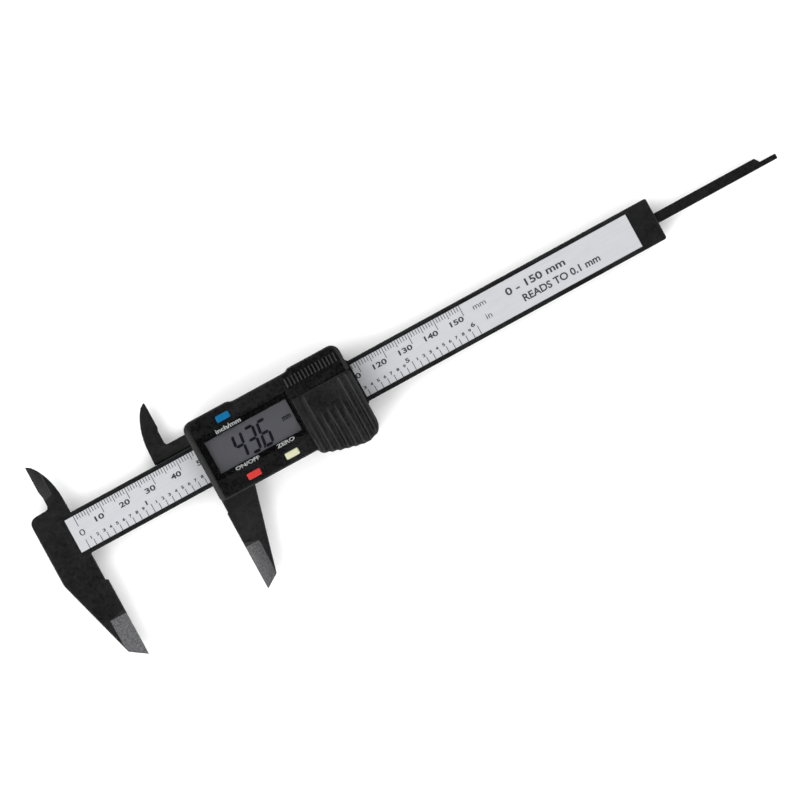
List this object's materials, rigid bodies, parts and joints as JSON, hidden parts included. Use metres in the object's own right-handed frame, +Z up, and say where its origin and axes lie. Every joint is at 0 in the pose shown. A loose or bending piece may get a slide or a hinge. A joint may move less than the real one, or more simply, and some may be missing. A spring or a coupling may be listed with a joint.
{
  "type": "digital caliper",
  "caption": "Plastic sliding caliper with outside and inside jaws, depth rod, foil scale on the beam, and a display head with push buttons and a sliding battery cover.",
  "frame": {"origin": "centre of the bounding box, on the plane that the rear cover rests on, in the stored pose", "axes": "+X along the beam towards the depth rod, +Y towards the inside jaws, +Z up through the display"},
  "size_m": [0.2842, 0.0762, 0.0145],
  "materials": {
    "black_plastic": "fine-grained moulded black plastic",
    "rod_plastic": "smooth black plastic",
    "label_foil": "satin silver foil with printed graduations",
    "circuit_board": "green solder mask",
    "chip_plastic": "moulded package",
    "steel": "plated",
    "spring_bronze": "rolled strip",
    "white_plastic": "moulded",
    "contact_rubber": "layered silicone",
    "lcd": "grey reflective liquid crystal panel",
    "window_clear": "clear polished plate",
    "window_black": "glossy black print",
    "button_blue": "satin",
    "button_red": "satin",
    "button_cream": "satin",
    "cell_steel": "nickel-plated can",
    "contact_metal": "plated strip"
  },
  "bodies": {
    "beam_body": {"beam": "black_plastic", "scale_board": "circuit_board", "scale_label": "label_foil", "end_stop": "steel", "end_stop_screw_1": "steel", "end_stop_screw_2": "steel"},
    "slider": {"slider_frame": "black_plastic", "depth_rod": "rod_plastic", "gib_spring": "spring_bronze", "rear_cover": "black_plastic", "rear_screw_1": "steel", "rear_screw_2": "steel", "rear_screw_3": "steel", "rear_screw_4": "steel", "main_board": "circuit_board", "controller_chip": "chip_plastic", "clock_crystal": "steel", "unit_switch": "steel", "power_switch": "steel", "zero_switch": "steel", "lcd_holder": "white_plastic", "zebra_strip_1": "contact_rubber", "zebra_strip_2": "contact_rubber", "lcd_glass": "lcd", "front_housing": "black_plastic", "window_mask": "window_black", "display_window": "window_clear", "button_cell": "cell_steel", "battery_contact_positive": "contact_metal", "battery_contact_negative": "contact_metal"},
    "unit_key": {"unit_button": "button_blue"},
    "power_key": {"power_button": "button_red"},
    "zero_key": {"zero_button": "button_cream"},
    "cover": {"battery_cover": "black_plastic"}
  },
  "joints": [
    {"name": "slider_travel", "type": "slide", "parent": "beam_body", "child": "slider", "axis": [1, 0, 0], "range_m": [-0.04635, 0.1086]},
    {"name": "unit_press", "type": "slide", "parent": "slider", "child": "unit_key", "axis": [0, 0, -1], "range_m": [0, 0.0004], "stiffness_N_per_m": 1500, "springref_m": -0.0004},
    {"name": "power_press", "type": "slide", "parent": "slider", "child": "power_key", "axis": [0, 0, -1], "range_m": [0, 0.0004], "stiffness_N_per_m": 1500, "springref_m": -0.0004},
    {"name": "zero_press", "type": "slide", "parent": "slider", "child": "zero_key", "axis": [0, 0, -1], "range_m": [0, 0.0004], "stiffness_N_per_m": 1500, "springref_m": -0.0004},
    {"name": "cover_slide", "type": "slide", "parent": "slider", "child": "cover", "axis": [1, 0, 0], "range_m": [0, 0.024]}
  ]
}
